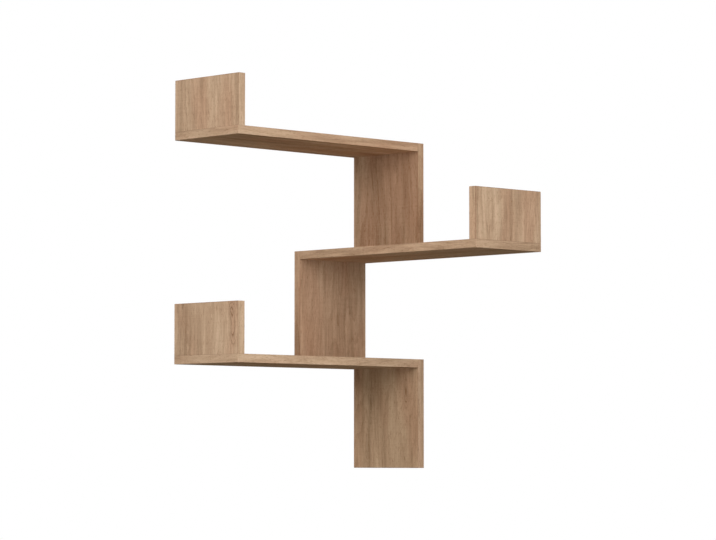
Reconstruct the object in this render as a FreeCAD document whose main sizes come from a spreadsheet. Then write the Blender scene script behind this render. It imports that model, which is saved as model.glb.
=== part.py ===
import FreeCAD, Part
import os
import re
import Sketcher

# Corner wall shelf in three tiers, made of wood-grain faced boards.
#
# A tier is an upright that lies flat against one wall of a room corner, a shelf that runs from
# the upright's inner face along the other wall, and a short end board that stands on the shelf's
# outer end. The next tier's upright stands on this shelf, right in the corner, so the tiers run
# along the left wall, the right wall and the left wall again. The middle tier is the mirror image
# of the other two.
#
# Frame of the part: the room's corner line is the Z axis, with its zero at the lower end of the
# bottom upright. The left wall is the plane X = 0 and the right wall is the plane Y = 0.
#
# Frame of a tier: X runs from the corner along the shelf's wall, Y runs out of that wall and Z runs
# up from the lower end of the upright. Every board is drawn in its tier's frame.
#
# Each board and each edging strip is a piece of its own. The fittings of one kind are one group.

# Sizes in millimetres, and turns in degrees
SIZES = {
    # Boards
    "shelf_reach": 600,  # from the room corner to the outer end of a shelf
    "depth": 220,  # from the wall to the front of a shelf
    "tier_height": 260,  # from the lower end of an upright to the top of its shelf
    "end_board_height": 120,
    "board": 20,  # thickness of every board
    # Edging strips
    "strip": 1,
    "strip_bevel": 0.5,  # along their outer long edges
    # Room that every fitting has round it in its hole
    "play": 0.1,
    # Dowels, and the holes for them in a board's face and in a board's end
    "dowel_hole": 8,
    "dowel_face_depth": 13,
    "dowel_end_depth": 24,
    "dowel_end_room": 1,
    "dowel_margin": 10,  # to a dowel's axis, further in than a board's thickness
    # Screws through the upright into the shelf's inner end
    "screw_hole": 7,
    "screw_length": 50,
    "screw_tip_room": 3,
    "screw_head": 10,
    "screw_sink": 0.2,
    "screw_margin": 15,  # to a screw's axis, further in than a board's thickness
    # Sockets of the screws and cams, for one hexagon key
    "hex_key": 4,
    "hex_depth": 3,
    # Turning cam in the end board, halfway along its lower end
    "cam_reach": 34,  # from the board's lower end up to the cam's axis
    "cam_hole": 15,
    "cam_hole_depth": 14.5,
    "cam_floor_room": 0.3,
    "cam_sink": 0.2,
    # Inside of the cam: a round room off its axis, so the wall that pulls the bolt grows thicker
    "cam_room": 10.4,
    "cam_room_offset": 0.9,
    "cam_mouth": 7.4,  # opening that takes in the bolt's head
    "cam_slot": 4.8,  # slot that the bolt's neck runs in
    "cam_slot_turn": 225,
    "cam_slot_middle": -22.5,
    # Bolt that the cam pulls
    "bolt_hole": 7,
    "bolt_hole_depth": 12,
    "bolt_end_room": 1,
    "bolt_neck": 4.4,
    "bolt_head": 6.9,
    "bolt_head_height": 3,
    # Cover of the cam
    "cover": 18,
    "cover_height": 1.6,
    # Keyhole hanger let into a board's wall side
    "hanger_length": 45,
    "hanger_width": 15,
    "hanger_thickness": 1.5,
    "hanger_sink": 0.1,
    "hanger_room": 0.3,
    "keyhole": 10,
    "keyhole_slot": 5,
    "keyhole_drop": 4,  # centre of the round hole below the hanger's middle
    "keyhole_rise": 7,  # centre of the slot's round end above the hanger's middle
    "wall_screw_room": 13,
    "wall_screw_room_depth": 10,
    "upright_hanger_drop": 60,  # hanger's middle below the upright's top
    "end_hanger_drop": 50,  # hanger's middle below the end board's top
}

SIZE_NAME = re.compile(r"\b(" + "|".join(SIZES) + r")\b")

# Planes of a body's own origin, by the way that they face in the tier's frame
LEVEL = "XY_Plane"  # faces up
CROSSWISE = "YZ_Plane"  # faces away from the corner
LENGTHWISE = "XZ_Plane"  # faces the wall

# Ways to place a fitting: its own Z comes out of its hole, and its own Y points up
CORNERWARD = FreeCAD.Rotation(
    FreeCAD.Vector(0, -1, 0), FreeCAD.Vector(0, 0, 1), FreeCAD.Vector(-1, 0, 0), "ZYX"
)
WALLWARD = FreeCAD.Rotation(
    FreeCAD.Vector(1, 0, 0), FreeCAD.Vector(0, 0, 1), FreeCAD.Vector(0, -1, 0), "ZYX"
)
UPWARD = FreeCAD.Rotation()

doc = FreeCAD.newDocument("corner_wall_shelf")


# The sheet of sizes

def make_sheet():
    """A spreadsheet with one named cell for each size."""
    cells = doc.addObject("Spreadsheet::Sheet", "Sizes")
    for row, (name, size) in enumerate(SIZES.items(), start=1):
        cells.set(f"A{row}", name)
        cells.set(f"B{row}", str(size))
        cells.setAlias(f"B{row}", name)
    doc.recompute()
    return cells


sheet = make_sheet()


def formula(text):
    """The text, with each size's name written as its cell of the sheet."""
    return SIZE_NAME.sub(r"Sizes.\g<0>", text)


def worth(text):
    """The present value of a formula, used where a sketch's lines are first drawn."""
    return float(sheet.evalExpression(formula(text)))


def bind(item, setting, text):
    """Tie one setting of an object to a formula of the sizes."""
    item.setExpression(setting, formula(text))


def pair(middle, spacing):
    """Two places, evenly to both sides of a middle."""
    return [f"{middle} - {spacing} / 2", f"{middle} + {spacing} / 2"]


def inset_pair(margin):
    """Two places across the depth, clear of a board's thickness at the wall and at the front."""
    return [f"board + {margin}", f"depth - board - {margin}"]


# Sketches. In a sketch's rules, point 1 is a line's or an arc's start, 2 is its end and 3 is its
# centre, and point 1 of line -1 is the sketch's own origin.

def new_body(name):
    body = doc.addObject("PartDesign::Body", name)
    body.Label = name
    return body


def new_sketch(body, name, plane, offset):
    """A sketch on a plane of the body's origin, moved along the way that the plane faces."""
    sketch = body.newObject("Sketcher::SketchObject", f"{body.Name}_{name}_sketch")
    support = next(item for item in body.Origin.OriginFeatures if item.Role == plane)
    sketch.AttachmentSupport = [(support, "")]
    sketch.MapMode = "FlatFace"
    bind(sketch, "AttachmentOffset.Base.z", offset)
    return sketch


def hold(sketch, line, point, x, y):
    """Tie a point of a sketch to its distances from the sketch's origin."""
    for kind, text in (("DistanceX", x), ("DistanceY", y)):
        rule = Sketcher.Constraint(kind, -1, 1, line, point, worth(text))
        number = sketch.addConstraint(rule)
        bind(sketch, f"Constraints[{number}]", text)


def draw_outline(sketch, corners):
    """A closed outline of straight lines through corners that are pairs of formulas."""
    places = [FreeCAD.Vector(worth(x), worth(y)) for x, y in corners]
    ends = places[1:] + places[:1]
    lines = [sketch.addGeometry(Part.LineSegment(*both)) for both in zip(places, ends)]
    for line, following in zip(lines, lines[1:] + lines[:1]):
        sketch.addConstraint(Sketcher.Constraint("Coincident", line, 2, following, 1))
    for line, (x, y) in zip(lines, corners):
        hold(sketch, line, 1, x, y)


def draw_even_outline(sketch, sides, radius):
    """A closed outline of equal sides round the sketch's origin, with its corners at the radius."""
    turns = [f"{360 * corner / sides} deg" for corner in range(sides)]
    draw_outline(sketch, [(f"{radius} * cos({turn})", f"{radius} * sin({turn})") for turn in turns])


def draw_rectangle(sketch, left, low, right, high):
    draw_outline(sketch, [(left, low), (right, low), (right, high), (left, high)])


def draw_circle(sketch, x, y, diameter):
    middle = FreeCAD.Vector(worth(x), worth(y))
    radius = worth(diameter) / 2
    line = sketch.addGeometry(Part.Circle(middle, FreeCAD.Vector(0, 0, 1), radius))
    hold(sketch, line, 3, x, y)
    number = sketch.addConstraint(Sketcher.Constraint("Diameter", line, 2 * radius))
    bind(sketch, f"Constraints[{number}]", diameter)


def draw_slot(sketch, x, low, high, width):
    """An upright slot with round ends, between the centres of its two ends."""
    middle, radius = worth(x), worth(width) / 2
    top, foot = worth(high), worth(low)
    corner = [
        FreeCAD.Vector(middle - radius, foot),
        FreeCAD.Vector(middle + radius, foot),
        FreeCAD.Vector(middle + radius, top),
        FreeCAD.Vector(middle - radius, top),
    ]
    crown = FreeCAD.Vector(middle, top + radius)
    heel = FreeCAD.Vector(middle, foot - radius)
    right = sketch.addGeometry(Part.LineSegment(corner[1], corner[2]))
    upper = sketch.addGeometry(Part.Arc(corner[2], crown, corner[3]))
    left = sketch.addGeometry(Part.LineSegment(corner[3], corner[0]))
    lower = sketch.addGeometry(Part.Arc(corner[0], heel, corner[1]))
    for line, following in ((right, upper), (upper, left), (left, lower), (lower, right)):
        sketch.addConstraint(Sketcher.Constraint("Tangent", line, 2, following, 1))
    sketch.addConstraint(Sketcher.Constraint("Equal", upper, lower))
    sketch.addConstraint(Sketcher.Constraint("Vertical", right))
    hold(sketch, upper, 3, x, high)
    rule = Sketcher.Constraint("DistanceY", -1, 1, lower, 3, foot)
    bind(sketch, f"Constraints[{sketch.addConstraint(rule)}]", low)
    rule = Sketcher.Constraint("Radius", upper, radius)
    bind(sketch, f"Constraints[{sketch.addConstraint(rule)}]", f"({width}) / 2")


# Features of a body

def cut(body, name, sketch, depth, forward):
    """A pocket of a given depth. Forward cuts the way that the sketch faces."""
    pocket = body.newObject("PartDesign::Pocket", f"{body.Name}_{name}")
    pocket.Profile = sketch
    pocket.Reversed = forward
    bind(pocket, "Length", depth)
    return pocket


def drill(body, name, plane, offset, places, diameter, depth, forward):
    """Round holes of one size and depth, drilled from one face."""
    sketch = new_sketch(body, name, plane, offset)
    for x, y in places:
        draw_circle(sketch, x, y, diameter)
    return cut(body, name, sketch, depth, forward)


def make_slab(name, x_span, y_span, z_span):
    """A body with a rectangle in plan, padded up between two heights."""
    body = new_body(name)
    sketch = new_sketch(body, "plan", LEVEL, z_span[0])
    draw_rectangle(sketch, x_span[0], y_span[0], x_span[1], y_span[1])
    pad = body.newObject("PartDesign::Pad", f"{name}_pad")
    pad.Profile = sketch
    bind(pad, "Length", f"{z_span[1]} - ({z_span[0]})")
    return body


def make_strip(name, x_span, y_span, z_span, outward):
    """An edging strip, bevelled along the two long edges of the side that faces outward."""
    body = make_slab(name, x_span, y_span, z_span)
    doc.recompute()
    flat = body.Tip
    length = max(edge.Length for edge in flat.Shape.Edges)
    reach = max(edge.CenterOfMass.dot(outward) for edge in flat.Shape.Edges)
    outer = [
        f"Edge{number}"
        for number, edge in enumerate(flat.Shape.Edges, start=1)
        if round(edge.Length - length, 6) == 0 and round(edge.CenterOfMass.dot(outward) - reach, 6) == 0
    ]
    chamfer = body.newObject("PartDesign::Chamfer", f"{name}_bevel")
    chamfer.Base = (flat, outer)
    bind(chamfer, "Size", "strip_bevel")
    return body


def make_turned(name, corners):
    """A round fitting, from half of its outline: distance from the axis, and height along it."""
    body = new_body(name)
    sketch = new_sketch(body, "half", LENGTHWISE, "0")
    draw_outline(sketch, corners)
    turned = body.newObject("PartDesign::Revolution", f"{name}_turned")
    turned.Profile = sketch
    turned.ReferenceAxis = (sketch, ["V_Axis"])
    return body


# Fittings. Each is modelled once, with its axis along Z and Z pointing out of its hole.
# Threads are left out, and a threaded stretch is as thick as its hole, less the play.

DOWEL_RIBS = 12
HEX_SIDES = 6


def make_dowel():
    """A ribbed beech dowel, centred on its own middle. Its ribs are drawn as the edges of flats."""
    length = "(dowel_face_depth + dowel_end_depth - 2 * dowel_end_room)"
    body = new_body("dowel")
    sketch = new_sketch(body, "section", LEVEL, f"-{length} / 2")
    draw_even_outline(sketch, DOWEL_RIBS, "(dowel_hole / 2 - play)")
    pad = body.newObject("PartDesign::Pad", "dowel_pad")
    pad.Profile = sketch
    bind(pad, "Length", length)
    return body


def cut_hex_socket(body):
    """The socket in a fitting's outer face. One hexagon key turns the screws and the cams."""
    socket = new_sketch(body, "socket", LEVEL, "0")
    draw_even_outline(socket, HEX_SIDES, "hex_key / sqrt(3)")
    cut(body, "socket", socket, "hex_depth", False)


def make_confirmat():
    """A one-piece connecting screw, with a countersunk head and a hexagon socket."""
    head = "screw_head / 2"
    shank = "(screw_hole / 2 - play)"
    body = make_turned(
        "confirmat_screw",
        [
            ("0", "0"),
            (head, "0"),
            (shank, f"{shank} - {head}"),
            (shank, "-screw_length"),
            ("0", "-screw_length"),
        ],
    )
    cut_hex_socket(body)
    return body


# The bolt's axis lies in the middle of the board, so this far below the cam's face
BOLT_DEPTH = "(board / 2 - cam_sink)"

# Height of the cam, from its face to its open lower end
CAM_HEIGHT = "(cam_hole_depth - cam_floor_room - cam_sink)"


def make_cam():
    """The zinc cam that pulls a bolt's head as it turns.

    Its lower part is a wall round a room that lies off the cam's axis. The bolt's head comes in
    through the mouth, where the wall is thinnest, and its neck then runs along the slot while the
    wall behind the head grows thicker. It is drawn pulled tight, with the bolt coming from -Y.
    """
    radius = "(cam_hole / 2 - play)"
    body = make_turned(
        "cam", [("0", f"-{CAM_HEIGHT}"), (radius, f"-{CAM_HEIGHT}"), (radius, "0"), ("0", "0")]
    )
    room_depth = f"{CAM_HEIGHT} - {BOLT_DEPTH} + cam_mouth / 2"
    drill(body, "room", LEVEL, f"-{CAM_HEIGHT}", [("0", "cam_room_offset")], "cam_room", room_depth, True)

    mouth = new_sketch(body, "mouth", LEVEL, f"-{CAM_HEIGHT}")
    draw_rectangle(mouth, "-cam_mouth / 2", "0", "cam_mouth / 2", "cam_hole / 2")
    cut(body, "mouth", mouth, room_depth, True)

    slot = new_sketch(body, "slot", LENGTHWISE, "0")
    slot.AttachmentOffset.Rotation = FreeCAD.Rotation(FreeCAD.Vector(0, 1, 0), 0)
    bind(slot, "AttachmentOffset.Rotation.Angle", "cam_slot_middle * 1 deg")
    low, high = pair(f"-{BOLT_DEPTH}", "cam_slot")
    draw_rectangle(slot, "0", low, "cam_hole / 2", high)
    groove = body.newObject("PartDesign::Groove", "cam_slot_groove")
    groove.Profile = slot
    groove.ReferenceAxis = (slot, ["V_Axis"])
    groove.Midplane = True
    bind(groove, "Angle", "cam_slot_turn")

    cut_hex_socket(body)
    return body


def make_bolt():
    """The bolt that the cam pulls. Its lower end is pressed into the shelf, whose top is at zero.

    The shank ends at the wall of the cam's hole, and the head's underside bears on the wall of the
    cam's room, which is a circle, so the head seats where its own rim meets that circle.
    """
    shank = "(bolt_hole / 2 - play)"
    shank_end = "(bolt_end_room - bolt_hole_depth)"
    neck = "bolt_neck / 2"
    head = "bolt_head / 2"
    neck_start = "(cam_reach - cam_hole / 2)"
    room_wall = f"sqrt((cam_room / 2)^2 - ({head})^2)"
    seat = f"(cam_reach + cam_room_offset - {room_wall} + play)"
    return make_turned(
        "cam_bolt",
        [
            ("0", shank_end),
            (shank, shank_end),
            (shank, neck_start),
            (neck, neck_start),
            (neck, seat),
            (head, seat),
            (head, f"{seat} + bolt_head_height"),
            ("0", f"{seat} + bolt_head_height"),
        ],
    )


def make_cover():
    """The plastic cover of the cam, a disc that lies on the board."""
    return make_turned(
        "cam_cover", [("0", "0"), ("cover / 2", "0"), ("cover / 2", "cover_height"), ("0", "cover_height")]
    )


def make_hanger():
    """The steel keyhole hanger. Its outer face is at height zero, and Y points up the wall."""
    length = ("-hanger_length / 2", "hanger_length / 2")
    width = ("-hanger_width / 2", "hanger_width / 2")
    body = make_slab("hanger_plate", width, length, ("-hanger_thickness", "0"))
    drill(body, "keyhole", LEVEL, "0", [("0", "-keyhole_drop")], "keyhole", "hanger_thickness", False)
    slot = new_sketch(body, "keyhole_slot", LEVEL, "0")
    draw_slot(slot, "0", "-keyhole_drop", "keyhole_rise", "keyhole_slot")
    cut(body, "keyhole_slot", slot, "hanger_thickness", False)
    return body


# Places that two pieces share, in a tier's frame

MIDDLE = "depth / 2"
SIDE_JOINT_HEIGHT = "tier_height - board / 2"
SCREW_PLACES = inset_pair("screw_margin")
DOWEL_PLACES = inset_pair("dowel_margin")
END_MIDDLE = "shelf_reach - board / 2"
END_INNER = "shelf_reach - board"
UPRIGHT_HANGER_HEIGHT = "tier_height - upright_hanger_drop"
END_HANGER_HEIGHT = "tier_height + end_board_height - end_hanger_drop"
DOWEL_SHIFT = "((dowel_end_depth - dowel_face_depth) / 2)"


# Holes that several boards have

def drill_for_hanger(body, plane, middle, height, forward):
    """The flat recess of a hanger, and the deeper one that the wall screw's head slides up in."""
    recess = new_sketch(body, "hanger_recess", plane, "0")
    left, right = pair(middle, "(hanger_width + 2 * hanger_room)")
    low, high = pair(height, "(hanger_length + 2 * hanger_room)")
    draw_rectangle(recess, left, low, right, high)
    cut(body, "hanger_recess", recess, "hanger_sink + hanger_thickness", forward)

    room = new_sketch(body, "wall_screw_room", plane, "0")
    left, right = pair(middle, "wall_screw_room")
    low = f"{height} - keyhole_drop - wall_screw_room / 2"
    high = f"{height} + keyhole_rise + wall_screw_room / 2"
    draw_rectangle(room, left, low, right, high)
    cut(body, "wall_screw_room", room, "wall_screw_room_depth", forward)


def drill_dowels_in_end(body, lower_end, across):
    """Dowel holes up into a board's lower end."""
    places = [(across, place) for place in DOWEL_PLACES]
    drill(body, "end_dowels", LEVEL, lower_end, places, "dowel_hole", "dowel_end_depth", True)


def countersink(body, name, sketch, diameter, head):
    """Countersunk holes right through, at the circles of a sketch that faces away from the screws."""
    hole = body.newObject("PartDesign::Hole", f"{body.Name}_{name}")
    hole.Profile = sketch
    doc.recompute()
    hole.DepthType = "ThroughAll"
    hole.HoleCutType = "Countersink"
    hole.HoleCutCountersinkAngle = 90
    hole.Reversed = True
    bind(hole, "Diameter", diameter)
    bind(hole, "HoleCutDiameter", head)


# Boards

def make_upright(name, lower_strip, stands_on_shelf):
    """The board against the wall. Only the bottom one has a strip on its lower end."""
    body = make_slab(
        name, ("0", "board"), ("0", "depth - strip"), (lower_strip, "tier_height - strip")
    )
    drill_for_hanger(body, CROSSWISE, MIDDLE, UPRIGHT_HANGER_HEIGHT, True)
    if stands_on_shelf:
        drill_dowels_in_end(body, "0", "board / 2")
    screws = new_sketch(body, "screw_holes", CROSSWISE, "0")
    for place in SCREW_PLACES:
        draw_circle(screws, place, SIDE_JOINT_HEIGHT, "screw_hole")
    doc.recompute()
    countersink(body, "screw_holes", screws, "screw_hole", "screw_head + 2 * (screw_sink + play)")
    return body


def make_shelf(name, carries_upright):
    """The level board. The end board, and the next upright in the corner, stand on its top."""
    body = make_slab(
        name, ("board", "shelf_reach - strip"), ("0", "depth - strip"), ("tier_height - board", "tier_height")
    )
    screws = [(place, SIDE_JOINT_HEIGHT) for place in SCREW_PLACES]
    depth = "screw_sink + screw_length + screw_tip_room - board"
    drill(body, "screw_holes", CROSSWISE, "board", screws, "screw_hole", depth, True)
    bolt = [(END_MIDDLE, MIDDLE)]
    drill(body, "bolt_hole", LEVEL, "tier_height", bolt, "bolt_hole", "bolt_hole_depth", False)
    dowels = [(END_MIDDLE, place) for place in DOWEL_PLACES]
    if carries_upright:
        dowels += [(place, "board / 2") for place in DOWEL_PLACES]
    drill(body, "top_dowels", LEVEL, "tier_height", dowels, "dowel_hole", "dowel_face_depth", False)
    return body


def make_end_board(name):
    """The short board that stands on the shelf's outer end, pulled down by one cam."""
    top = "tier_height + end_board_height"
    body = make_slab(
        name, (END_INNER, "shelf_reach"), ("0", "depth - strip"), ("tier_height", f"{top} - strip")
    )
    cam = [(MIDDLE, "tier_height + cam_reach")]
    drill(body, "cam_hole", CROSSWISE, END_INNER, cam, "cam_hole", "cam_hole_depth", True)
    bolt = [(END_MIDDLE, MIDDLE)]
    drill(body, "bolt_hole", LEVEL, "tier_height", bolt, "bolt_hole", "cam_reach", True)
    drill_dowels_in_end(body, "tier_height", END_MIDDLE)
    drill_for_hanger(body, LENGTHWISE, END_MIDDLE, END_HANGER_HEIGHT, False)
    return body


# Edging strips. The long front ones run over the ends of the short ones.

ACROSS_DEPTH = ("0", "depth - strip")
AT_FRONT = ("depth - strip", "depth")
FRONT = FreeCAD.Vector(0, 1, 0)
OUTER = FreeCAD.Vector(1, 0, 0)
UPPER = FreeCAD.Vector(0, 0, 1)
LOWER = FreeCAD.Vector(0, 0, -1)


def make_strips(tier, lower_strip):
    """All edging strips of a tier, by name."""
    top = "tier_height + end_board_height"
    shelf_height = ("tier_height - board", "tier_height")
    shelf_length = ("board", "shelf_reach")
    end_width = (END_INNER, "shelf_reach")
    at_end = ("shelf_reach - strip", "shelf_reach")
    upright_top = ("tier_height - strip", "tier_height")
    end_board_top = (f"{top} - strip", top)
    spans = {
        "shelf_front_strip": (shelf_length, AT_FRONT, shelf_height, FRONT),
        "shelf_end_strip": (at_end, ACROSS_DEPTH, shelf_height, OUTER),
        "upright_front_strip": (("0", "board"), AT_FRONT, ("0", "tier_height"), FRONT),
        "upright_top_strip": (("0", "board"), ACROSS_DEPTH, upright_top, UPPER),
        "end_board_front_strip": (end_width, AT_FRONT, ("tier_height", top), FRONT),
        "end_board_top_strip": (end_width, ACROSS_DEPTH, end_board_top, UPPER),
    }
    if lower_strip != "0":
        spans["upright_foot_strip"] = (("0", "board"), ACROSS_DEPTH, ("0", lower_strip), LOWER)
    return {f"{tier}_{name}": make_strip(f"{tier}_{name}", *span) for name, span in spans.items()}


# Groups of fittings

def set_fittings(name, fitting, places):
    """One group of equal fittings, each with its turn and its place in the tier's frame."""
    copies = []
    for number, (turn, *place) in enumerate(places, start=1):
        copy = doc.addObject("App::Link", f"{name}_{number}")
        copy.LinkedObject = fitting
        copy.Placement.Rotation = turn
        for axis, text in zip("xyz", place):
            bind(copy, f"Placement.Base.{axis}", text)
        copies.append(copy)
    group = doc.addObject("Part::Compound", name)
    group.Links = copies
    return group


def make_fittings(tier, fittings, stands_on_shelf):
    """A tier's groups of fittings, by name: which fitting it is, and where each one sits."""
    cam_height = "tier_height + cam_reach"
    groups = {
        "confirmat_screws": (
            "confirmat_screw",
            [(CORNERWARD, "screw_sink", place, SIDE_JOINT_HEIGHT) for place in SCREW_PLACES],
        ),
        "end_board_cams": ("cam", [(CORNERWARD, f"{END_INNER} + cam_sink", MIDDLE, cam_height)]),
        "end_board_cam_covers": ("cam_cover", [(CORNERWARD, END_INNER, MIDDLE, cam_height)]),
        "end_board_cam_bolts": ("cam_bolt", [(UPWARD, END_MIDDLE, MIDDLE, "tier_height")]),
        "end_board_dowels": (
            "dowel",
            [(UPWARD, END_MIDDLE, place, f"tier_height + {DOWEL_SHIFT}") for place in DOWEL_PLACES],
        ),
        "hanger_plates": (
            "hanger_plate",
            [
                (CORNERWARD, "hanger_sink", MIDDLE, UPRIGHT_HANGER_HEIGHT),
                (WALLWARD, END_MIDDLE, "hanger_sink", END_HANGER_HEIGHT),
            ],
        ),
    }
    if stands_on_shelf:
        groups["upright_dowels"] = (
            "dowel",
            [(UPWARD, "board / 2", place, DOWEL_SHIFT) for place in DOWEL_PLACES],
        )
    return {
        name: set_fittings(f"{tier}_{name}", fittings[kind], places)
        for name, (kind, places) in groups.items()
    }


# Tiers

def make_tier(tier, level, fittings, stands_on_shelf, carries_upright):
    """A tier's boards with their strips, and its groups of fittings, along the left wall."""
    lower_strip = "0" if stands_on_shelf else "strip"
    pieces = {
        f"{tier}_upright": make_upright(f"{tier}_upright", lower_strip, stands_on_shelf),
        f"{tier}_shelf": make_shelf(f"{tier}_shelf", carries_upright),
        f"{tier}_end_board": make_end_board(f"{tier}_end_board"),
    }
    pieces.update(make_strips(tier, lower_strip))
    groups = make_fittings(tier, fittings, stands_on_shelf)
    for piece in [*pieces.values(), *groups.values()]:
        piece.Placement.Rotation = FreeCAD.Rotation(FreeCAD.Vector(0, 0, 1), -90)
        bind(piece, "Placement.Base.z", f"tier_height * {level}")
    return pieces, groups


def mirror_pieces(pieces):
    """The same pieces mirrored from the left wall onto the right one."""
    mirrored = {}
    for name, piece in pieces.items():
        piece.Label = f"{piece.Name}_before_mirroring"
        image = doc.addObject("Part::Mirroring", f"{piece.Name}_mirrored")
        image.Label = piece.Name
        image.Source = piece
        image.Normal = FreeCAD.Vector(1, 1, 0)
        mirrored[name] = image
    return mirrored


def join_groups(tiers):
    """One group for each kind of fitting, with the fittings of every tier that has it."""
    kinds = {}
    for _pieces, groups in tiers:
        for name, group in groups.items():
            kinds.setdefault(name, []).append(group)
    joined = {}
    for name, groups in kinds.items():
        joined[name] = doc.addObject("Part::Compound", name)
        joined[name].Links = groups
    return joined


def make_shelving():
    """The three tiers, from the bottom up."""
    fittings = {
        "dowel": make_dowel(),
        "confirmat_screw": make_confirmat(),
        "cam": make_cam(),
        "cam_bolt": make_bolt(),
        "cam_cover": make_cover(),
        "hanger_plate": make_hanger(),
    }
    bottom = make_tier("bottom", 0, fittings, stands_on_shelf=False, carries_upright=True)
    middle = make_tier("middle", 1, fittings, stands_on_shelf=True, carries_upright=True)
    top = make_tier("top", 2, fittings, stands_on_shelf=True, carries_upright=False)
    tiers = [bottom, [mirror_pieces(pieces) for pieces in middle], top]
    shelving = {}
    for pieces, _groups in tiers:
        shelving.update(pieces)
    shelving.update(join_groups(tiers))
    return shelving


# Tests before anything is written

def check_document(pieces):
    """Stop at a failed object, a cut that removed nothing or a piece with a bad shape."""
    for item in doc.Objects:
        if "Invalid" in item.State or "Error" in item.State:
            raise RuntimeError(f"{item.Label} failed: {item.State}")
        if item.TypeId in ("PartDesign::Pocket", "PartDesign::Groove", "PartDesign::Hole"):
            if item.Shape.Volume >= item.BaseFeature.Shape.Volume:
                raise RuntimeError(f"{item.Label} cuts nothing")
    for name, piece in pieces.items():
        if piece.Shape.isNull() or not piece.Shape.isValid():
            raise RuntimeError(f"{name} has no valid shape")


def write_pieces(pieces):
    """One STEP file for each piece or group of equal fittings."""
    os.makedirs("parts", exist_ok=True)
    for name, piece in pieces.items():
        piece.Shape.exportStep(os.path.join("parts", f"{name}.step"))
    bounds = Part.makeCompound([piece.Shape for piece in pieces.values()]).BoundBox
    solids = sum(len(piece.Shape.Solids) for piece in pieces.values())
    print(f"{len(pieces)} nodes, {solids} solids")
    print(f"size {bounds.XLength:.1f} x {bounds.YLength:.1f} x {bounds.ZLength:.1f} mm")


shelving = make_shelving()
doc.recompute()
check_document(shelving)
write_pieces(shelving)
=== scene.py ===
# %% [markdown]
# # A corner wall shelf of wood-grain boards
#
# The object is a shelving unit that hangs in the corner of a room. It climbs the corner in three
# tiers, and each tier is an upright, a shelf and a short end board. This lesson dresses the packed
# model: the boards get their printed oak grain, their chipboard core and their edging, the hidden
# fittings get their metals, and the pieces that are too small for the construction are modelled.
#
# Loading the model comes first, because every finish and every new piece takes its place from it.
# The box of the whole model is kept, so that the lesson can end by printing how much the unit has grown.

# %% Load the imported model
import math

import bmesh
import bpy
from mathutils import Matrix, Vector


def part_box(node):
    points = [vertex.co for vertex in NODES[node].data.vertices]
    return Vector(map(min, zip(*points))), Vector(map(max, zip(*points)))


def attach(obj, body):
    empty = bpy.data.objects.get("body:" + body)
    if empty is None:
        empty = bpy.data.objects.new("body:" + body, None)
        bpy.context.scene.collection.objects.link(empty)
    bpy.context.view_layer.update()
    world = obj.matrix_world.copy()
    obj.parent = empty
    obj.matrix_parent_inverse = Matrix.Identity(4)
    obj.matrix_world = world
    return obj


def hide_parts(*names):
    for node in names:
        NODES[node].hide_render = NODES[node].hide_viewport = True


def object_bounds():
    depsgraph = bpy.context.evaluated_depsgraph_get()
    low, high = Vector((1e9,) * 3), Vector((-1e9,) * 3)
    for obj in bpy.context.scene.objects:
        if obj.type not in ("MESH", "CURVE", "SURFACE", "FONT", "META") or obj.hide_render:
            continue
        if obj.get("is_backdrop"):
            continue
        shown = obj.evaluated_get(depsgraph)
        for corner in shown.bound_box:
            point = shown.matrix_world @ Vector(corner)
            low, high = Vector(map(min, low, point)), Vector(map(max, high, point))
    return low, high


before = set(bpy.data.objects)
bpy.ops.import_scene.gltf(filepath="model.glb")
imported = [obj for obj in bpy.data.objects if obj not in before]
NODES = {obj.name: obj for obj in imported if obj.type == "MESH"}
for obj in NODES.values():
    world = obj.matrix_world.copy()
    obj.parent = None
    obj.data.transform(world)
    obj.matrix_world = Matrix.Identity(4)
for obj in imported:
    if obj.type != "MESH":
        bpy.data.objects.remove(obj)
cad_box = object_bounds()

print(len(NODES), "nodes, box", [round(side, 4) for side in cad_box[1] - cad_box[0]])

# %% [markdown]
# ## How a shader is wired here
#
# A material is a small machine of nodes. A few helpers keep the wiring short enough to read: they
# start a material and find its shader, feed a socket with either a number or the output of another
# node, add a node, do one step of arithmetic, and spread a value over another range.
#
# Everything is placed by Object coordinates. All the pieces have their origin in the room's corner,
# so these are simply the places on the real unit, in metres.

# %% Start a material and feed its sockets
def new_material(name):
    material = bpy.data.materials.new(name)
    material.use_nodes = True
    return material


def shader_of(material):
    return material.node_tree.nodes["Principled BSDF"]


def feed(material, socket, value):
    """Give a socket a number or a colour, or link it to another node's output."""
    if isinstance(value, bpy.types.NodeSocket):
        material.node_tree.links.new(value, socket)
    else:
        socket.default_value = value


# %% Add a node, calculate and remap
def add(material, kind, settings=(), **values):
    """A new node, its settings, and what its sockets are fed with."""
    node = material.node_tree.nodes.new(kind)
    for setting, choice in dict(settings).items():
        setattr(node, setting, choice)
    for name, value in values.items():
        feed(material, node.inputs[name.replace("_", " ")], value)
    return node


def calculate(material, operation, first, second=0.0, clamp=False):
    """One step of arithmetic between two sockets or numbers."""
    node = add(material, "ShaderNodeMath", {"operation": operation, "use_clamp": clamp})
    feed(material, node.inputs[0], first)
    feed(material, node.inputs[1], second)
    return node.outputs[0]


def remap(material, value, start, end, low, high, settings=()):
    """What lies between start and end, spread out between low and high."""
    node = add(
        material, "ShaderNodeMapRange", settings,
        Value=value, From_Min=start, From_Max=end, To_Min=low, To_Max=high,
    )
    return node.outputs[0]


# %% [markdown]
# A colour that is picked from a screen isn't the light that a surface reflects, because the numbers
# of a screen are spaced to suit the eye. One helper turns the first into the second. The other two
# lay one colour over another, and line up several of them for a value to choose from.

# %% Helpers for colours
def blend_colours(material, share, first, second, mode="MIX"):
    """The second colour over the first, by a share between 0 and 1."""
    node = add(material, "ShaderNodeMix", {"data_type": "RGBA", "blend_type": mode})
    feed(material, node.inputs["Factor"], share)
    feed(material, node.inputs[6], first)
    feed(material, node.inputs[7], second)
    return node.outputs[2]


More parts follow.
